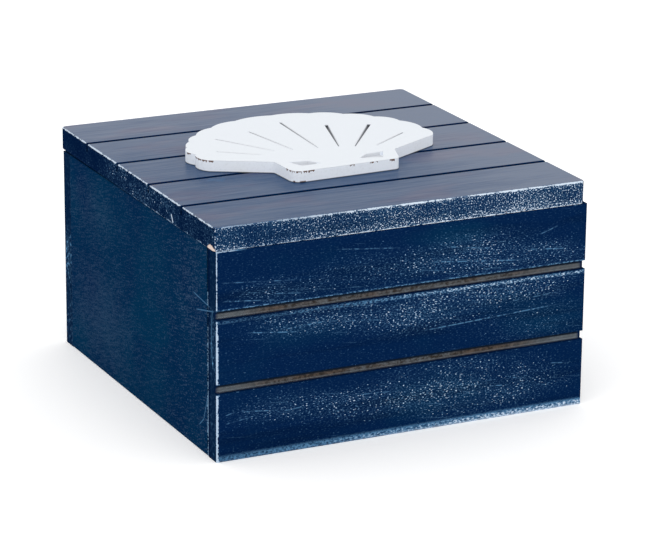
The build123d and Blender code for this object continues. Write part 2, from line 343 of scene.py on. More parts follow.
@shader_group("Mask", Place=NOWHERE, Start=NOWHERE, End=(1.0, 0.0, 0.0), Width=0.3 * MM)
def thin_scratch(tree, place, start, end, width):
    """A straight thin scratch between two points, fading at its ends."""
    way = tree.vector("SUBTRACT", end, start)
    come = tree.vector("SUBTRACT", place, start)
    square = tree.vector("DOT_PRODUCT", way, way)
    along = tree.math("DIVIDE", tree.vector("DOT_PRODUCT", come, way), square)
    aside = tree.vector("LENGTH", tree.vector("SUBTRACT", come, tree.times(way, along)))
    line = tree.smooth(aside, width, tree.scaled(width, 0.4))
    return tree.all_of(line, tree.smooth(along, 0.0, 0.15), tree.smooth(along, 1.0, 0.8))


@shader_group("Reach", Place=NOWHERE, Middle=NOWHERE, Radius=1.0 * MM)
def spot_reach(tree, place, middle, radius):
    """How far a point lies from a spot's middle, in radii of the spot."""
    away = tree.vector("LENGTH", tree.vector("SUBTRACT", place, middle))
    return tree.math("DIVIDE", away, radius)


@shader_group("Color", Place=NOWHERE, Grain=0.5, Teal=0.2, Haze=0.05)
def navy_coat(tree, place, grain, teal, haze):
    """The navy coat: its colour drifts between blue and teal, and the grain shows through."""
    drift = tree.noise(tree.times(place, 45.0), 3.0, 0.55)
    teal = tree.linear(tree.swing(drift), 1.0, teal)
    coat = tree.mix(tree.scale(teal, 0.0, 1.0, 0.0, 1.0), NAVY, TEAL_NAVY)
    coat = tree.mix(tree.scale(grain, 0.50, 0.25, 0.0, 0.7), coat, DEEP_NAVY)
    fine = tree.noise(tree.times(place, 1100.0), 2.0, 0.6)
    return tree.mix(tree.scaled(tree.smooth(fine, 0.35, 0.75), haze), coat, THIN_COAT)


@shader_group("Color", Place=NOWHERE)
def sawn_wood(tree, place):
    """Raw sawn wood: dull grey-brown with saw marks and stains."""
    marks = tree.noise(tree.stretched(place, (700.0, 900.0, 900.0)), 3.0, 0.65)
    stain = tree.noise(tree.stretched(place, (60.0, 200.0, 200.0)), 2.0, 0.5)
    wood = tree.mix(tree.scale(stain, 0.40, 0.56, 0.0, 0.80), SAWN_WOOD, BROWN_SAWN_WOOD)
    return tree.mix(tree.scale(marks, 0.60, 0.38, 0.0, 1.0), wood, DARK_SAWN_WOOD)


@shader_group("Color", "Roughness", "Height", Place=NOWHERE, Tarnish=0.4)
def dull_brass(tree, place, tarnish):
    """Dull brass with tarnish spots and fine rolling lines."""
    spots = tree.noise(tree.times(place, 700.0), 3.0, 0.6)
    level = tree.scale(tarnish, 0.0, 1.0, 0.75, 0.3)
    spotted = tree.smooth(spots, level, tree.total(level, 0.2))
    lines = tree.noise(tree.stretched(place, (150.0, 5000.0, 5000.0)), 2.0, 0.5)
    rough = tree.linear(lines, 0.1, tree.scale(spotted, 0.0, 1.0, 0.28, 0.55))
    return tree.mix(spotted, BRASS, DULL_BRASS), rough, tree.linear(spotted, -0.5, lines)


def new_material(name, specular):
    """A material with its surface shader; the caller joins colour, roughness and bump."""
    material = bpy.data.materials.new(name)
    material.use_nodes = True
    tree = Tree(material.node_tree)
    shader = tree.nodes["Principled BSDF"]
    shader.inputs["Specular IOR Level"].default_value = specular
    place = tree.nodes.new("ShaderNodeTexCoord").outputs["Object"]
    return material, tree, shader, place


def bump(tree, shader, height, depth, strength=1.0):
    """Relief of this depth in metres."""
    inputs = {"Height": height, "Distance": depth, "Strength": strength}
    tree.feed(shader.inputs["Normal"], tree.add("Bump", inputs).outputs["Normal"])


def depths(tree, place, low, high):
    """How deep a point lies under the faces of a board, along X, Y and Z."""
    above = tree.vector("SUBTRACT", place, tuple(low))
    below = tree.vector("SUBTRACT", tuple(high), place)
    return tree.split(tree.vector("MINIMUM", above, below))


def outside_cuts(tree, across, cuts):
    """The way from a point to the nearest saw cut, negative inside one."""
    ways = []
    for start, end in cuts:
        cut = tree.use(saw_cut_distance, Across=across, Start=start, End=end)
        ways.append(cut["Distance"])
    return tree.least(*ways)


def way_to(tree, value, *levels):
    """The way from a value to the nearest of some levels."""
    ways = [tree.math("ABSOLUTE", tree.minus(value, level)) for level in levels]
    return tree.least(*ways)


def ragged_spots(tree, place, spots, grain_size, raggedness):
    """Ragged spots, each with its middle and radius."""
    reaches = []
    for middle, radius in spots:
        spot = tree.use(spot_reach, Place=place, Middle=middle, Radius=radius)
        reaches.append(spot["Reach"])
    rag = tree.swing(tree.noise(tree.times(place, 1.0 / grain_size), 2.0, 0.6))
    return tree.smooth(tree.linear(rag, raggedness, tree.least(*reaches)), 1.0, 0.8)


def scratch_lines(tree, place, lines, width, strength):
    """Fine scratches, each between two points."""
    masks = []
    for start, end in lines:
        scratch = tree.use(thin_scratch, Place=place, Start=start, End=end, Width=width)
        masks.append(scratch["Mask"])
    return tree.scaled(tree.any_of(*masks), strength)


def patches(tree, place, spots):
    """Soft patches added up, each with its middle, half size and strength."""
    masks = []
    for middle, half_size, strength in spots:
        mask = tree.use(soft_patch, Place=place, Middle=middle, Half_Size=half_size)["Mask"]
        masks.append(tree.scaled(mask, strength))
    return tree.total(*masks)


def face_patches(tree, place, spots, axis):
    """Soft patches on a face, given in millimetres along this axis (0 for X, 1 for Y) and Z."""
    def put(pair, elsewhere):
        point = [elsewhere, elsewhere, pair[1] * MM]
        point[axis] = pair[0] * MM
        return tuple(point)

    placed = [(put(middle, 0.0), put(half_size, ENDLESS), strength)
              for middle, half_size, strength in spots]
    return patches(tree, place, placed)


def broken(tree, place, mask):
    """Breaks a line into dots and dashes."""
    gaps = tree.noise(tree.times(place, 750.0), 1.5, 0.6)
    return tree.scaled(mask, tree.scale(gaps, 0.42, 0.58, 0.12, 1.0))


def rubbed_line(tree, place, way, width, cover):
    """A white line along an edge that lies this way off."""
    return tree.use(worn_edge, Place=place, Distance=way, Width=width, Cover=cover)["Mask"]


def flecks(tree, place, size, cover, softness=0.06):
    """Ragged white flecks of this size."""
    inputs = {"Place": place, "Size": size, "Cover": cover, "Softness": softness}
    return tree.use(rubbed_flecks, **inputs)["Mask"]


def speckle(tree, place, grains, contrast, amount):
    """Fine white specks, with so many grains per metre along X, Y and Z."""
    inputs = {"Place": place, "Grains": grains, "Contrast": contrast, "Amount": amount}
    return tree.use(fine_speckle, **inputs)["Mask"]


def navy(tree, place, grain, teal, haze=0.0):
    """The navy coat's colour."""
    return tree.use(navy_coat, Place=place, Grain=grain, Teal=teal, Haze=haze)["Color"]


def finish_paint(tree, shader, coat, worn, dips, grain, rough, whitens=(0.10, 0.70)):
    """Joins a painted board's shader: worn places are duller and show the undercoat, which
    turns from thinly covered to bare between the two shares of whitens; dips lie lower."""
    bare = tree.mix(tree.smooth(worn, *whitens), THIN_COAT, WHITE_UNDERCOAT)
    tree.feed(shader.inputs["Base Color"], tree.mix(worn, coat, bare))
    paint_rough = tree.linear(grain["Fine"], GRAIN_DULLS, rough - GRAIN_DULLS / 2)
    tree.feed(shader.inputs["Roughness"], tree.linear(worn, WEAR_DULLS, paint_rough))
    bump(tree, shader, tree.linear(dips, -DIP_DEPTH, grain["Height"]), PAINT_RELIEF)


def cover_colour(tree, shader, mask, colour):
    """Lays another colour over a finished paint."""
    painted = shader.inputs["Base Color"].links[0].from_socket
    tree.feed(shader.inputs["Base Color"], tree.mix(mask, painted, colour))


def turned_flat(point):
    """A point of the closed lid, with the lid's slope taken out about the hinge line."""
    return Matrix.Rotation(-lid_slope, 3, "X") @ (point - hinge_line) + hinge_line


def lid_corners():
    """Lowest and highest corner of the lid board with its slope taken out."""
    points = [turned_flat(vertex.co) for vertex in frame["nodes"]["lid_board"].data.vertices]
    low = Vector([min(point[axis] for point in points) for axis in range(3)])
    high = Vector([max(point[axis] for point in points) for axis in range(3)])
    return low, high


def place_on_lid(tree, place):
    """Turns the lid's slope out of a point, as turned_flat does."""
    return tree.turned(place, "X", -lid_slope, tuple(hinge_line))


lid_low, lid_high = lid_corners()
shell_middle = Vector((
    (lid_low.x + lid_high.x) / 2 + shell_offset[0],
    (lid_low.y + lid_high.y) / 2 + shell_offset[1],
    lid_high.z,
))


def lid_cuts():
    """Start and end, along Y, of each saw cut in the lid."""
    first = lid_low.y + front_lid_plank
    last = lid_high.y - back_lid_plank
    step = (last - first) / (lid_groove_count - 1)
    middles = [first + step * number for number in range(lid_groove_count)]
    return [(middle - lid_groove_width / 2, middle + lid_groove_width / 2) for middle in middles]


def marks_from(corner, marks):
    """Lines between two points each, given in millimetres from a corner or middle."""
    return [(corner + Vector(start) * MM, corner + Vector(end) * MM) for start, end in marks]


# A short nick on the lid's left edge, and a rubbed place on its top in front of the shell
lid_nicks = marks_from(lid_low, (
    ((0.0, 38.5, 3.8), (0.0, 36.5, 0.2)),
))
lid_top_marks = marks_from(shell_middle, (
    ((-49.0, -11.5, 0.0), (-43.5, -8.0, 0.0)),
    ((-50.0, -7.0, 0.0), (-45.5, -12.5, 0.0)),
    ((-52.0, -9.0, 0.0), (-44.0, -10.0, 0.0)),
))

# The chip at its lower front left corner: how it is squeezed, so that it is longer along the
# left edge and low, and its radius
corner_chip_shape = Vector((1.5, 0.55, 0.90))
corner_chip_radius = 1.9 * MM
lacquer_roughness = 0.28


class LidFaces:
    """Masks of the lid's faces and edges at a point that place_on_lid gives."""

    def __init__(self, tree, flat):
        x, y, z = tree.split(flat)
        self.x = x
        self.flat = flat
        self.deep_x, deep_y, deep_z = depths(tree, flat, lid_low, lid_high)
        self.edge = tree.use(middle_value, First=self.deep_x, Second=deep_y, Third=deep_z)["Value"]
        self.cut = outside_cuts(tree, y, lid_cuts())
        self.from_left = tree.minus(x, lid_low.x)
        self.from_front = tree.minus(y, lid_low.y)
        self.from_top = tree.minus(lid_high.z, z)
        self.from_bottom = tree.minus(z, lid_low.z)
        self.near_top = tree.fade(self.from_top, 1.2, 0.7)
        self.near_bottom = tree.fade(self.from_bottom, 1.2, 0.7)
        self.near_left = tree.fade(self.from_left, 1.4, 0.9)
        self.near_front = tree.fade(self.from_front, 1.4, 0.9)
        self.on_front = tree.fade(self.from_front, 0.5, 0.2)
        self.on_side = tree.fade(self.deep_x, 0.5, 0.2)
        # The top's lighter colour and its lacquer stop 0.25 to 0.6 mm short of each saw cut, which
        # paints a wider shade line along the cuts
        self.off_cut = tree.fade(self.cut, 0.25, 0.60)
        self.on_top = tree.all_of(tree.fade(self.from_top, 0.35, 0.1), self.off_cut)
        within = tree.smooth(self.from_top, lid_groove_depth + 0.3 * MM, lid_groove_depth)
        below = tree.fade(self.from_top, 0.3, 0.8)
        self.in_cut = tree.all_of(tree.fade(self.cut, 0.15, -0.1), below, within)


def lid_edge_lines(tree, lid):
    """White lines where the lid's edges are rubbed through."""
    def line(width, cover):
        return rubbed_line(tree, lid.flat, lid.edge, width * MM, cover)

    front_half = tree.fade(lid.from_front, 95, 60)
    left_top = tree.all_of(line(0.42, 0.86), lid.near_top, lid.near_left, lid.off_cut, 0.85)
    to_right = tree.scale(lid.x, -60 * MM, 5 * MM, 0.60, 1.0)
    front_top = tree.all_of(line(0.52, 0.80), lid.near_top, lid.near_front, to_right)
    front_foot = tree.all_of(line(0.62, 0.72), lid.near_bottom, lid.near_front, to_right)
    left_foot = tree.all_of(line(0.75, 0.66), lid.near_bottom, lid.near_left, front_half, 0.55)
    corner = tree.all_of(line(0.75, 0.80), lid.near_left, lid.near_front, 0.9)
    elsewhere = tree.all_of(line(0.25, 0.45), lid.off_cut, 0.7)
    by_cut = rubbed_line(tree, lid.flat, lid.cut, 0.9 * MM, 0.36)
    by_cut = tree.all_of(by_cut, lid.on_top, tree.fade(lid.from_front, 60, 40), 0.5)
    return tree.any_of(left_top, front_top, front_foot, left_foot, corner, elsewhere, by_cut)


def lid_specks(tree, lid):
    """Fine white specks, dense on the front face and on the front part of the left one."""
    level = tree.scale(lid.from_left, 0.0, 120 * MM, 0.036, 0.085)
    clouds = tree.scale(tree.noise(tree.times(lid.flat, 90.0), 2.0), 0.35, 0.65, 0.60, 1.40)
    by_foot = tree.fade(lid.from_bottom, 3.5, 0.3)
    by_top = tree.fade(lid.from_top, 1.8, 0.6)
    nearer = tree.total(tree.scaled(by_foot, 1.1), tree.scaled(by_top, 0.8), 0.85)
    amount = tree.all_of(level, clouds, nearer)
    front = tree.all_of(speckle(tree, lid.flat, LID_FRONT_GRAINS, 16.5, amount), lid.on_front)

    front_part = tree.fade(lid.from_front, 118, 84)
    patched = tree.scale(tree.noise(tree.times(lid.flat, 120.0), 2.0), 0.38, 0.62, 0.5, 1.6)
    middle_part = tree.all_of(front_part, tree.fade(lid.from_front, 25, 60))
    level = tree.total(tree.scaled(front_part, 0.010), tree.scaled(middle_part, 0.013), 0.006)
    amount = tree.all_of(level, patched)
    side = tree.all_of(speckle(tree, lid.flat, LID_SIDE_GRAINS, 13.0, amount), lid.on_side)
    top = flecks(tree, lid.flat, 1.2 * MM, 0.004)
    return tree.any_of(front, side, tree.all_of(top, lid.on_top, 0.25))


def lid_sheen(tree, lid, fine, broad, worn):
    """The lacquer's strength: only on the lid's top, with the grain's lines, and more at the back
    and to the right, which is painted reflection, brighter there.
    """
    to_back = tree.fade(lid.from_front, 70, 135)
    to_right = tree.fade(lid.x, 5, 70)
    sheen = tree.linear(to_back, 0.20, 0.67)
    sheen = tree.linear(to_right, 0.36, sheen)
    lines = tree.linear(tree.swing(fine), 0.75, sheen)
    lines = tree.linear(tree.swing(broad), 0.35, lines)
    return tree.all_of(tree.least(lines, 1.0), lid.on_top, tree.minus(1.0, worn))


def lid_paint():
    """Satin navy on the lid, rubbed white along its left and front edges, speckled on its sides."""
    material, tree, shader, place = new_material("lid_satin_navy", 0.0)
    flat = place_on_lid(tree, place)
    lid = LidFaces(tree, flat)
    grain = tree.use(drawn_out_grain, Place=flat, **LID_GRAIN)
    nick = scratch_lines(tree, flat, lid_nicks, 0.55 * MM, 0.8)
    marks = scratch_lines(tree, flat, lid_top_marks, 0.8 * MM, 0.14)
    specks = lid_specks(tree, lid)
    worn = tree.any_of(lid_edge_lines(tree, lid), specks, nick, marks)

    coat = navy(tree, flat, grain["Broad"], 0.10)
    # The top's colours are lighter than the navy of the other faces: painted light from above
    clouds = tree.noise(tree.stretched(flat, (22.0, 60.0, 60.0)), 3.0)
    top = tree.mix(tree.smooth(clouds, 0.50, 0.68), LID_TOP_PAINTED_LIGHT_NAVY, PLUM_NAVY)
    coat = tree.mix(lid.on_top, coat, top)
    # Deep navy inside the saw cuts is painted shade; the lid's side faces are also made darker navy
    coat = tree.mix(tree.any_of(lid.in_cut, tree.all_of(lid.on_side, 0.85)), coat, DEEP_NAVY)
    finish_paint(tree, shader, coat, worn, specks, grain, SATIN, whitens=(0.25, 0.85))

    corner = Vector((lid_low.x, lid_low.y + 2.8 * MM, lid_low.z)) * corner_chip_shape
    squeezed = tree.stretched(flat, tuple(corner_chip_shape))
    chip = ragged_spots(tree, squeezed, [(tuple(corner), corner_chip_radius)], 1.1 * MM, 1.0)
    cover_colour(tree, shader, tree.scaled(chip, 0.85), PALE_WOOD)
    foot = tree.all_of(flecks(tree, flat, 1.6 * MM, 0.08), lid.near_bottom, lid.near_front,
                       tree.smooth(lid.x, 0.0, 20 * MM), 0.7)
    cover_colour(tree, shader, foot, PALE_WOOD)

    sheen = lid_sheen(tree, lid, grain["Fine"], grain["Broad"], worn)
    tree.feed(shader.inputs["Coat Weight"], sheen)
    shader.inputs["Coat Roughness"].default_value = lacquer_roughness
    return material


def front_lines(tree, place, deep_x, deep_z, behind, cut, x, z):
    """White lines where the planks' edges are rubbed through."""
    plank_edge = tree.least(tree.math("ABSOLUTE", cut), deep_z)
    edge = tree.use(middle_value, First=deep_x, Second=behind, Third=plank_edge)["Value"]
    at_end = tree.fade(deep_x, 1.4, 0.9)
    at_left = tree.all_of(at_end, tree.smooth(x, 0.0, -1.0 * MM))
    below_cut = tree.fade(way_to(tree, z, front_grooves[1][0] - 0.9 * MM), 0.9, 0.3)
    above_cut = tree.fade(way_to(tree, z, front_grooves[1][1] + 0.3 * MM), 0.55, 0.15)
    dots = speckle(tree, place, BOARD_GRAINS, 15.0, 0.30)
    top_left = tree.all_of(tree.smooth(z, front_high.z - 0.9 * MM, front_high.z - 0.6 * MM),
                           tree.smooth(x, front_low.x + 14 * MM, front_low.x + 5 * MM))
    wide = tree.fade(z, 58, 50)
    corner_width = tree.scale(wide, 0.0, 1.0, 0.30 * MM, 0.62 * MM)
    corner = rubbed_line(tree, place, edge, corner_width, 0.90)
    off_cut = tree.fade(cut, 0.2, 0.6)
    faint = rubbed_line(tree, place, edge, 0.35 * MM, 0.45)
    return tree.any_of(
        tree.all_of(corner, tree.any_of(at_left, top_left), off_cut, 0.9),
        tree.all_of(below_cut, dots, tree.scale(x, -55 * MM, 20 * MM, 0.25, 0.90)),
        tree.all_of(above_cut, dots, 0.65),
        tree.all_of(faint, 0.6),
    )


# Where the front is sanded most: middle (X, Z), half size and strength, in millimetres
sanded_patches = (
    ((-50, 62), (20, 6), 0.35),
    ((-12, 64), (26, 8), 0.45),
    ((30, 65), (28, 9), 0.80),
    ((60, 60), (16, 7), 0.55),
    ((-38, 49), (28, 6), 0.65),
    ((5, 47), (34, 9), 0.90),
    ((45, 50), (28, 6), 0.75),
    ((52, 37), (24, 9), 0.30),
    ((-48, 18), (24, 6), 0.40),
    ((-14, 14), (30, 7), 0.70),
    ((32, 12), (36, 10), 0.80),
    ((20, 22), (36, 5), 0.45),
)
# Where its navy is more teal, given in the same way
teal_patches = (
    ((60, 37), (22, 10), 1.0),
    ((22, 74), (26, 5), 0.9),
    ((-38, 44), (18, 6), 0.5),
    ((28, 45), (26, 6), 0.5),
    ((20, 12), (34, 10), 0.5),
)

# Longer scratches on the front: two ends (X, Z) each, in millimetres
strong_scratches = (
    ((-73.0, 60.4), (-50.0, 58.2)),
    ((8.0, 64.6), (50.0, 60.2)),
    ((15.0, 69.6), (37.0, 66.2)),
    ((50.0, 64.2), (67.0, 62.5)),
    ((-64.0, 47.6), (-42.0, 45.0)),
    ((-49.0, 46.8), (-31.0, 47.7)),
    ((5.0, 38.4), (66.0, 41.3)),
    ((-66.0, 18.2), (-50.0, 16.5)),
    ((45.0, 15.1), (50.0, 13.8)),
    ((35.0, 13.0), (41.5, 12.5)),
)
faint_scratches = (
    ((-74.0, 67.3), (-42.0, 64.6)),
    ((-65.0, 62.8), (-57.0, 61.6)),
    ((-53.0, 60.8), (-41.0, 59.5)),
    ((-29.0, 74.1), (-2.0, 71.3)),
    ((55.0, 69.3), (63.0, 71.8)),
    ((-33.0, 47.7), (-8.0, 44.9)),
    ((43.0, 44.9), (66.0, 46.1)),
    ((-72.0, 17.4), (-67.0, 18.6)),
    ((-72.0, 14.2), (-59.0, 15.9)),
    ((-50.0, 15.8), (-41.0, 16.4)),
    ((-21.0, 17.8), (0.0, 16.6)),
    ((55.0, 10.8), (61.0, 9.8)),
    ((61.0, 18.4), (70.0, 17.3)),
)


def on_front(scratches):
    """Scratches on the front board's face, given in millimetres along X and Z."""
    def put(x, z):
        return (x * MM, front_low.y, z * MM)

    return [(put(*start), put(*end)) for start, end in scratches]


def front_density(tree, place):
    """How much the front is sanded, from 0 to about 1."""
    leaning = tree.turned(place, "Y", clouds_lean)
    clouds = tree.noise(tree.stretched(leaning, (45.0, 45.0, 190.0)), 3.0, 0.6)
    rubbed = face_patches(tree, place, sanded_patches, 0)
    return tree.scaled(rubbed, tree.scale(clouds, 0.35, 0.65, 0.45, 1.45))


def sanding_lines(tree, place, density):
    """Straight sanding lines across the planks at a low angle."""
    turned = tree.turned(place, "Y", sanding_angle)
    cover = tree.linear(density, 0.07, 0.004)
    inputs = {"Place": turned, "Stroke": (45.0, 45.0, 2600.0), "Cover": cover}
    return tree.use(sanding_strokes, Break_Size=0.42 * MM, **inputs)["Mask"]


def front_scratches(tree, place):
    """The longer scratches, broken into dots and dashes."""
    lines = tree.any_of(
        scratch_lines(tree, place, on_front(strong_scratches), 0.30 * MM, 0.50),
        scratch_lines(tree, place, on_front(faint_scratches), 0.28 * MM, 0.36),
    )
    return broken(tree, place, lines)


def front_foot(tree, x, z, place):
    """The whitened foot of the front board, higher to the right."""
    rag = tree.noise(tree.stretched(place, (950.0, 1100.0, 1600.0)), 2.0, 0.65)
    height = tree.linear(tree.swing(rag), 3.0 * MM, z)
    band = tree.scale(x, -75 * MM, 60 * MM, 3.0 * MM, 3.4 * MM)
    foot = tree.smooth(height, band, tree.scaled(band, 0.60))
    mottled = tree.scale(rag, 0.38, 0.62, 0.25, 1.75)
    return tree.all_of(foot, mottled, tree.scale(x, -75 * MM, 40 * MM, 0.30, 0.58))


def front_wear(tree, place, density, x, z):
    """Small specks, sanding lines, scratches and the whitened foot of the front."""
    specks = flecks(tree, place, 0.62 * MM, tree.linear(density, 0.024, 0.001), softness=0.12)
    return tree.any_of(
        tree.all_of(sanding_lines(tree, place, density), 0.36),
        tree.all_of(specks, 0.60),
        front_scratches(tree, place),
        front_foot(tree, x, z, place),
    )


def groove_floors(tree, shader, place, cut, behind, deep_x, x, z, fine):
    """Raw sawn wood on the floors of the two saw cuts, in shadow under the upper plank."""
    sawn = tree.use(sawn_wood, Place=place)["Color"]
    by_ends = tree.any_of(tree.fade(x, 35, 70), tree.fade(x, -50, -68))
    sawn = tree.mix(tree.all_of(by_ends, 0.60), sawn, PALE_SAWN_WOOD)
    floor_foot = way_to(tree, z, *[low for low, high in front_grooves])
    # Paler at the foot of each floor: the white undercoat showing, and painted light
    foot_undercoat_and_light = tree.all_of(tree.fade(floor_foot, 0.7, 0.2), 0.13)
    sawn = tree.mix(foot_undercoat_and_light, sawn, WHITE_UNDERCOAT)
    shadow = way_to(tree, z, *[high for low, high in front_grooves])
    sawn = tree.mix(tree.fade(shadow, 1.8, 1.2), sawn, GROOVE_SHADOW)
    ragged = tree.minus(behind, tree.scaled(fine, 1.2 * MM))
    bare = tree.smooth(ragged, front_groove_depth - 1.5 * MM, front_groove_depth - 1.3 * MM)
    ends = tree.fade(deep_x, 0.3, 2.0)
    not_inside = tree.smooth(behind, front_groove_depth + 1.0 * MM, front_groove_depth + 0.5 * MM)
    within = tree.all_of(tree.fade(cut, 0.1, -0.1), ends, not_inside)
    cover_colour(tree, shader, tree.all_of(bare, within), sawn)


# Where the boards' ends look hazy: height of the middle, half size, share
front_end_hazes = (
    (43, 14, 0.040),
    (12, 12, 0.018),
)
back_end_hazes = (
    (37, 11, 0.095),
    (12, 14, 0.026),
)


def coat_with_end(tree, place, coat, at_end, hazes):
    """Adds the paint on a board's ends: navy with hazy places."""
    placed = [((0.0, 0.0, at * MM), (ENDLESS, ENDLESS, size * MM), share)
              for at, size, share in hazes]
    amount = tree.total(patches(tree, place, placed), 0.010)
    haze = speckle(tree, place, (1000.0, 700.0, 700.0), 11.0, amount)
    return tree.mix(at_end, coat, tree.mix(haze, END_NAVY, THIN_COAT))


def front_paint():
    """Matt navy on the front, sanded to white streaks, with raw saw cuts between its planks."""
    material, tree, shader, place = new_material("front_sanded_navy", 0.0)
    x, y, z = tree.split(place)
    deep_x, _, deep_z = depths(tree, place, front_low, front_high)
    cut = outside_cuts(tree, z, front_grooves)
    behind = tree.minus(y, front_low.y)
    on_face = tree.fade(behind, 0.7, 0.4)
    at_end = tree.fade(deep_x, 0.3, 0.1)
    grain = tree.use(drawn_out_grain, Place=place, **BOARD_GRAIN)
    density = front_density(tree, place)
    lines = front_lines(tree, place, deep_x, deep_z, behind, cut, x, z)
    dust = speckle(tree, place, FRONT_GRAINS, 17.5, tree.linear(density, 0.045, 0.0035))
    wear = tree.any_of(dust, front_wear(tree, place, density, x, z))
    worn = tree.all_of(tree.any_of(lines, wear), on_face)
    worn = tree.any_of(worn, left_scratches(tree, place))

    teal = tree.linear(face_patches(tree, place, teal_patches, 0), 0.6, -0.05)
    coat = navy(tree, place, grain["Broad"], teal)
    coat = coat_with_end(tree, place, coat, at_end, front_end_hazes)
    # Deep navy where the front board's end meets the side board is painted shade in the joint
    joint = tree.fade(tree.minus(front_high.y, y), 2.2, 0.6)
    coat = tree.mix(tree.all_of(joint, at_end, 0.9), coat, DEEP_NAVY)
    finish_paint(tree, shader, coat, worn, dust, grain, MATT, whitens=(0.55, 1.1))
    foot_share = tree.scale(x, -30 * MM, 35 * MM, 0.04, 0.45)
    foot_edge = tree.all_of(tree.fade(z, 1.2, 0.2), foot_share, on_face)
    cover_colour(tree, shader, foot_edge, WHITE_UNDERCOAT)
    groove_floors(tree, shader, place, cut, behind, deep_x, x, z, grain["Fine"])
    return material


# Fine scratches by the joint at the left board's front edge: Y from the joint and Z at two ends
joint_scratches = marks_from(Vector((left_low.x, left_low.y, 0.0)), (
    ((0.0, 14.0, 58.5), (0.0, -2.5, 56.8)),
    ((0.0, 11.5, 52.5), (0.0, -6.5, 56.6)),
    ((0.0, -3.6, 57.0), (0.0, -2.6, 46.0)),
    ((0.0, -2.6, 48.0), (0.0, -3.6, 35.0)),
    ((0.0, 1.0, 22.0), (0.0, 4.6, 12.0)),
    ((0.0, 3.8, 13.4), (0.0, 8.6, 9.4)),
))


def left_scratches(tree, place):
    return scratch_lines(tree, place, joint_scratches, 0.34 * MM, 0.32)


# Where the paint of the sides is greyer or more teal: middle (Y, Z), half size and strength
grey_side_patches = (
    ((35, 22), (38, 24), 0.9),
    ((-52, 58), (16, 20), 0.8),
    ((42, 62), (26, 14), 0.6),
)
teal_side_patches = (
    ((-14, 34), (20, 9), 1.0),
)


def side_haze(tree, place):
    """Faint short sanding strokes that sink towards the back, and a little speckle."""
    turned = tree.turned(place, "X", side_stroke_angle)
    strokes = tree.noise(tree.stretched(turned, (900.0, 240.0, 1900.0)), 2.0, 0.6)
    grit = tree.noise(tree.stretched(place, (1200.0, 800.0, 1900.0)), 1.5, 0.6)
    lines = tree.scale(strokes, 0.36, 0.74, 0.0, 0.17)
    dots = tree.scale(grit, 0.40, 0.78, 0.0, 0.20)
    grey = face_patches(tree, place, grey_side_patches, 1)
    teal = face_patches(tree, place, teal_side_patches, 1)
    to_front = tree.fade(tree.split(place)[1], -10, -50)
    share = tree.total(tree.scaled(to_front, 0.55), tree.scaled(grey, -0.15), 0.60)
    level = tree.total(tree.scaled(to_front, 0.018), tree.scaled(grey, 0.044),
                       tree.scaled(teal, -0.018), 0.044)
    swing = tree.minus(tree.total(lines, dots), 0.19)
    return tree.linear(swing, share, level)


def side_wear(tree, place, low, high, front_joint, back_joint, z):
    """White dashes along the front joint, faint lines along the other edges, a few flecks."""
    dash_cover = tree.scale(z, 66 * MM, 50 * MM, 0.44, 0.64)
    deep_x, _, deep_z = depths(tree, place, low, high)
    rim = tree.use(middle_value, First=deep_x, Second=10 * MM, Third=deep_z)["Value"]
    low_front = tree.all_of(tree.fade(z, 60, 25), tree.fade(front_joint, 50, 10))
    fleck_cover = tree.linear(low_front, 0.02, 0.004)
    return tree.any_of(
        tree.all_of(flecks(tree, place, 0.9 * MM, fleck_cover), 0.30),
        tree.all_of(rubbed_line(tree, place, front_joint, 1.5 * MM, dash_cover), 0.55),
        tree.all_of(rubbed_line(tree, place, back_joint, 0.9 * MM, 0.45), 0.12),
        tree.all_of(rubbed_line(tree, place, rim, 0.3 * MM, 0.4), 0.35),
    )


def side_paint(name, low, high, outward):
    """Plain navy on a side board, rubbed crosswise with sandpaper; outward is -1 on the left."""
    material, tree, shader, place = new_material(name, 0.0)
    x, y, z = tree.split(place)
    grain = tree.use(drawn_out_grain, Place=place, **SIDE_GRAIN)
    on_face = tree.fade(way_to(tree, x, high.x if outward > 0 else low.x), 0.4, 0.2)
    front_joint = tree.minus(y, low.y)
    back_joint = tree.minus(high.y, y)

    drift = tree.noise(tree.stretched(place, (30.0, 30.0, 20.0)), 2.0)
    teal = tree.total(tree.scale(drift, 0.3, 0.7, 0.30, 1.0),
                      face_patches(tree, place, teal_side_patches, 1))
    haze = side_haze(tree, place)
    coat = tree.mix(haze, navy(tree, place, 0.5, teal), GREY_HAZE)
    # Painted shade along the side board's front edge, in the joint with the front board
    gap_shade = tree.all_of(tree.fade(front_joint, 1.6, 0.6), 0.75)
    coat = tree.mix(gap_shade, coat, PAINTED_GAP_SHADE)

    worn = side_wear(tree, place, low, high, front_joint, back_joint, z)
    if outward < 0:
        worn = tree.any_of(worn, left_scratches(tree, place))
    worn = tree.all_of(worn, on_face)
    finish_paint(tree, shader, coat, worn, haze, grain, MATT, whitens=(0.35, 1.0))
    return material


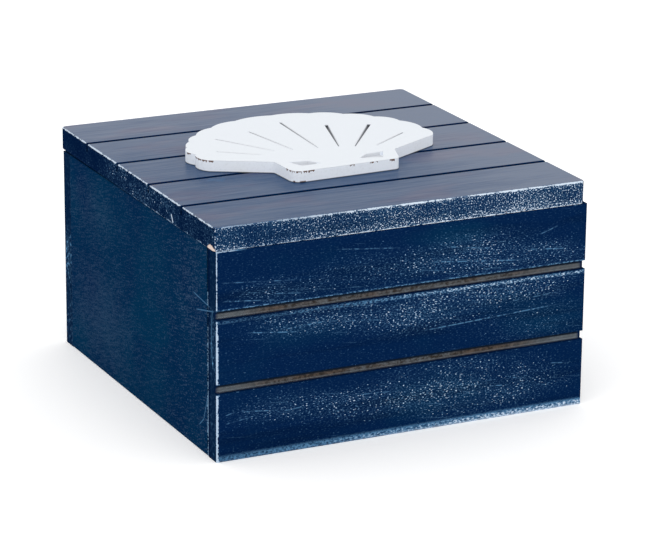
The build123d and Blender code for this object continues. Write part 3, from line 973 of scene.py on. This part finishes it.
def back_paint():
    """Plain navy on the back board, lightly sanded along it."""
    material, tree, shader, place = new_material("back_plain_navy", 0.0)
    behind = tree.minus(back_high.y, tree.split(place)[1])
    on_face = tree.fade(behind, 0.7, 0.4)
    deep_x, deep_y, deep_z = depths(tree, place, back_low, back_high)
    at_end = tree.fade(deep_x, 0.3, 0.1)
    edge = tree.use(middle_value, First=deep_x, Second=deep_y, Third=deep_z)["Value"]
    grain = tree.use(drawn_out_grain, Place=place, **BOARD_GRAIN)
    clouds = tree.noise(tree.stretched(place, (26.0, 26.0, 60.0)), 3.0, 0.6)
    cover = tree.scale(clouds, 0.36, 0.70, 0.0, 0.08)
    strokes = tree.use(sanding_strokes, Place=place, Stroke=(48.0, 48.0, 2400.0), Cover=cover)
    dust = speckle(tree, place, BOARD_GRAINS, 14.0, tree.scale(clouds, 0.36, 0.70, 0.003, 0.030))
    worn = tree.any_of(
        tree.all_of(rubbed_line(tree, place, edge, 0.45 * MM, 0.6), 0.8),
        tree.all_of(strokes["Mask"], 0.30),
        dust,
    )
    coat = navy(tree, place, grain["Broad"], 0.8, haze=0.03)
    coat = coat_with_end(tree, place, coat, at_end, back_end_hazes)
    worn = tree.all_of(worn, on_face)
    finish_paint(tree, shader, coat, worn, dust, grain, MATT, whitens=(0.45, 1.0))
    return material


def bottom_paint():
    """Navy inside the box; the underside of the bottom panel is bare plywood."""
    material, tree, shader, place = new_material("bottom_panel_navy", 0.02)
    height = tree.split(place)[2]
    grain = tree.use(drawn_out_grain, Place=place, **BOTTOM_GRAIN)
    coat = navy(tree, place, grain["Broad"], 0.3, haze=0.03)
    finish_paint(tree, shader, coat, 0.0, 0.0, grain, MATT)
    ply = tree.mix(tree.smooth(grain["Broad"], 0.35, 0.65), PLY_DARK, PLY_LIGHT)
    cover_colour(tree, shader, tree.fade(height, 0.4, 0.2), ply)
    return material


# Chips along the shell's upper edge, and one at its foot: place from the rim's middle, and size
shell_chips = (
    ((-48.8, 13.8), 1.3),
    ((-47.9, 9.2), 1.5),
    ((-48.3, 6.2), 1.6),
    ((-47.6, 3.0), 1.5),
    ((-45.9, 0.8), 1.2),
    ((-23.9, -19.9), 0.9),
    ((-22.8, -22.4), 1.3),
    ((-21.6, -24.6), 1.2),
    ((-19.0, -25.4), 1.5),
    ((-16.0, -25.1), 1.1),
    ((0.4, -25.1), 1.3),
    ((8.7, -24.2), 0.9),
    ((10.6, -24.1), 0.8),
    ((17.2, -24.0), 1.2),
)
foot_chips = (
    ((-22.0, -23.0), 1.5),
    ((-20.0, -25.0), 1.3),
)

# Cuts of the shell's rays, from the rim's middle: outer and inner end
fan_turn = math.radians(-2.0)
shell_rays = (
    ((-39.0, 10.2), (-24.9, -0.1)),
    ((-32.8, 26.5), (-18.3, 3.1)),
    ((-16.9, 31.9), (-11.2, 2.3)),
    ((-0.5, 40.0), (-1.4, 1.0)),
    ((14.7, 30.2), (6.7, 0.1)),
    ((30.6, 25.2), (12.4, -1.9)),
    ((37.5, 9.3), (20.6, -3.5)),
)

# The recesses in its ears: two ends of each one's middle line
shell_recesses = (
    ((-19.5, -15.0), (-10.0, -16.5)),
    ((7.5, -17.0), (18.5, -15.5)),
)


def on_shell(point):
    """A place on the shell's plan, given in millimetres from the middle of its rim."""
    return (shell_middle.x + point[0] * MM, shell_middle.y + point[1] * MM, 0.0)


def fan_lines(lines, longer=0.0):
    """Lines on the fan, which is turned a little; both ends go further by this share."""
    turn = Matrix.Rotation(fan_turn, 2)
    placed = []
    for outer, inner in lines:
        spare = (Vector(outer) - Vector(inner)) * longer
        ends = (Vector(outer) + spare, Vector(inner) - spare)
        placed.append([on_shell(turn @ end) for end in ends])
    return placed


def chipped_spots(tree, plan, chips):
    """Ragged spots where the white paint is chipped."""
    spots = [(on_shell(middle), radius * MM) for middle, radius in chips]
    return ragged_spots(tree, plan, spots, 0.9 * MM, 2.2)


def shell_chip_mask(tree, plan, under_top):
    """Chips through the white paint at the upper edge and at the foot."""
    ragged = tree.noise(tree.times(plan, 1500.0), 2.0, 0.6)
    below_chip = tree.minus(under_top, tree.linear(ragged, 2.8 * MM, -0.85 * MM))
    upright = tree.fade(under_top, 0.02, 0.10)
    near_edge = tree.all_of(tree.fade(below_chip, 0.1, -0.05), upright)
    near_foot = tree.fade(tree.minus(shell_thickness, under_top), 0.8, 0.4)
    return tree.any_of(
        tree.all_of(chipped_spots(tree, plan, shell_chips), near_edge),
        tree.all_of(chipped_spots(tree, plan, foot_chips), near_foot),
    )


def shell_paint():
    """Matt white on the shell, chipped to brown in places along its upper edge."""
    material, tree, shader, place = new_material("shell_matt_white", 0.12)
    flat = place_on_lid(tree, place)
    x, y, z = tree.split(flat)
    under_top = tree.minus(lid_high.z + shell_thickness, z)
    plan = tree.join(x, y, 0.0)
    grain = tree.use(drawn_out_grain, Place=flat, **SHELL_GRAIN)
    # The walls are whiter than the top: painted light that lifts their shade
    side = tree.fade(under_top, 0.05, 0.30)
    recesses = [(on_shell(outer), on_shell(inner)) for outer, inner in shell_recesses]
    in_recess = tree.smooth(scratch_lines(tree, plan, recesses, 7.0 * MM, 1.0), 0.0, 0.3)
    coat = tree.mix(tree.minus(side, tree.all_of(side, in_recess)), SHELL_WHITE, SHELL_WALL_PAINTED_LIGHT)
    # Grey in the ear recesses is painted shade
    coat = tree.mix(tree.all_of(side, in_recess, 0.60), coat, SHELL_GREY)
    dust = tree.scaled(tree.scale(grain["Fine"], 0.50, 0.75, 0.0, 0.22), side)
    coat = tree.mix(tree.total(dust, 0.01), coat, SHELL_GREY)

    # Dark inside the ray cuts, deepening with depth: painted shade and dirt
    cuts = scratch_lines(tree, plan, fan_lines(shell_rays, longer=0.2), 3.0 * MM, 1.0)
    deep = tree.fade(under_top, 0.03, 0.45)
    coat = tree.mix(tree.all_of(tree.smooth(cuts, 0.0, 0.4), deep, 0.92), coat, RAY_SHADE_AND_DIRT)
    # A faint grey band along each ray on the top is painted shade
    ray_edge_shade = scratch_lines(tree, plan, fan_lines(shell_rays), 1.1 * MM, 0.30)
    coat = tree.mix(ray_edge_shade, coat, SHELL_GREY)
    coat = tree.mix(shell_chip_mask(tree, plan, under_top), coat, CHIPPED_BROWN)
    # A thin dark line at the shell's foot is painted contact shadow
    contact_shade = tree.smooth(under_top, shell_thickness - 0.40 * MM, shell_thickness - 0.15 * MM)
    tree.feed(shader.inputs["Base Color"], tree.mix(tree.all_of(contact_shade, 0.9), coat, PAINTED_GAP_SHADE))
    tree.feed(shader.inputs["Roughness"], tree.linear(grain["Fine"], 0.2, 0.55))
    bump(tree, shader, grain["Height"], SHELL_RELIEF)
    return material


def hinge_metal(name, tarnish):
    """Dull brass for hinges or screws."""
    material, tree, shader, place = new_material(name, 0.5)
    shader.inputs["Metallic"].default_value = 1.0
    metal = tree.use(dull_brass, Place=place, Tarnish=tarnish)
    tree.feed(shader.inputs["Base Color"], metal["Color"])
    tree.feed(shader.inputs["Roughness"], metal["Roughness"])
    bump(tree, shader, metal["Height"], METAL_RELIEF)
    return material


def dress(material, slot, *names):
    """Gives CAD nodes their finish; slot, the record's slot that it belongs to, is not used."""
    for name in names:
        node = frame["nodes"][name]
        node.data.materials.clear()
        node.data.materials.append(material)


def dress_all():
    left = side_paint("left_rubbed_navy", left_low, left_high, -1)
    right = side_paint("right_rubbed_navy", right_low, right_high, 1)
    navy_boards = {
        "lid_board": lid_paint(),
        "front_board": front_paint(),
        "left_side_board": left,
        "right_side_board": right,
        "back_board": back_paint(),
        "bottom_panel": bottom_paint(),
    }
    for board, paint in navy_boards.items():
        dress(paint, "navy_painted_wood", board)
    dress(shell_paint(), "white_painted_wood", "shell_ornament")
    hinge_parts = ("box_leaf", "lid_leaf", "pin")
    hinges = [f"{side}_hinge_{part}" for side in ("left", "right") for part in hinge_parts]
    dress(hinge_metal("hinge_dull_brass", 0.4), "hinge_metal", *hinges)
    screws = ("box_hinge_screws", "lid_hinge_screws")
    dress(hinge_metal("screw_dull_brass", 0.3), "screw_metal", *screws)


# Camera: place and direction from the photo's lines
camera_place = Vector((-486.8, -1010.0, 394.3)) * MM
camera_azimuth = math.radians(-25.822)
camera_elevation = math.radians(17.555)
camera_roll = math.radians(0.476)
camera_lens = 169.36
camera_sensor = 36.0  # its width
camera_shift = (0.0070, -0.0029)

# Stage and lights
floor_half_size = 6.0
floor_glow = 0.2
key_light_way = (-0.40, -0.80, 0.40)
key_light_strength = 0.70


def set_camera():
    lens = bpy.data.cameras.new("camera")
    lens.sensor_fit = "HORIZONTAL"
    lens.sensor_width = camera_sensor
    lens.lens = camera_lens
    lens.shift_x, lens.shift_y = camera_shift
    lens.clip_start = 0.01
    lens.clip_end = 100.0
    camera = bpy.data.objects.new("camera", lens)
    bpy.context.scene.collection.objects.link(camera)
    level = math.cos(camera_elevation)
    back = Vector((
        math.sin(camera_azimuth) * level,
        -math.cos(camera_azimuth) * level,
        math.sin(camera_elevation),
    ))
    camera.rotation_mode = "QUATERNION"
    aim = (-back).to_track_quat("-Z", "Y")
    camera.rotation_quaternion = aim @ Quaternion((0.0, 0.0, 1.0), camera_roll)
    camera.location = camera_place
    bpy.context.scene.camera = camera


def make_floor():
    """A plain pale floor, lit a little from below as a product table is."""
    mesh = bpy.data.meshes.new("floor")
    ways = ((-1, -1), (1, -1), (1, 1), (-1, 1))
    corners = [(x * floor_half_size, y * floor_half_size, 0.0) for x, y in ways]
    mesh.from_pydata(corners, [], [(0, 1, 2, 3)])
    floor = bpy.data.objects.new("floor", mesh)
    bpy.context.scene.collection.objects.link(floor)
    material, _, shader, _ = new_material("pale_floor", 0.1)
    shader.inputs["Base Color"].default_value = FLOOR_WHITE
    shader.inputs["Roughness"].default_value = 0.9
    shader.inputs["Emission Color"].default_value = LIGHT_WHITE
    shader.inputs["Emission Strength"].default_value = floor_glow
    mesh.materials.append(material)


def add_soft_sun(name, towards, strength):
    """A wide soft light with no hard shadow; towards is the way to it from the box."""
    lamp = bpy.data.lights.new(name, "SUN")
    lamp.energy = strength
    lamp.angle = math.radians(90.0)
    light = bpy.data.objects.new(name, lamp)
    light.rotation_mode = "QUATERNION"
    light.rotation_quaternion = Vector(towards).to_track_quat("Z", "Y")
    bpy.context.scene.collection.objects.link(light)


def light_studio():
    """A bright even room, and one wide soft light from the front left."""
    world = bpy.data.worlds.new("white_room")
    world.use_nodes = True
    background = world.node_tree.nodes["Background"]
    background.inputs["Color"].default_value = LIGHT_WHITE
    background.inputs["Strength"].default_value = 1.0
    bpy.context.scene.world = world
    add_soft_sun("key_light", key_light_way, key_light_strength)
    bpy.context.scene.view_settings.view_transform = "Standard"


dress_all()
set_camera()
make_floor()
light_studio()
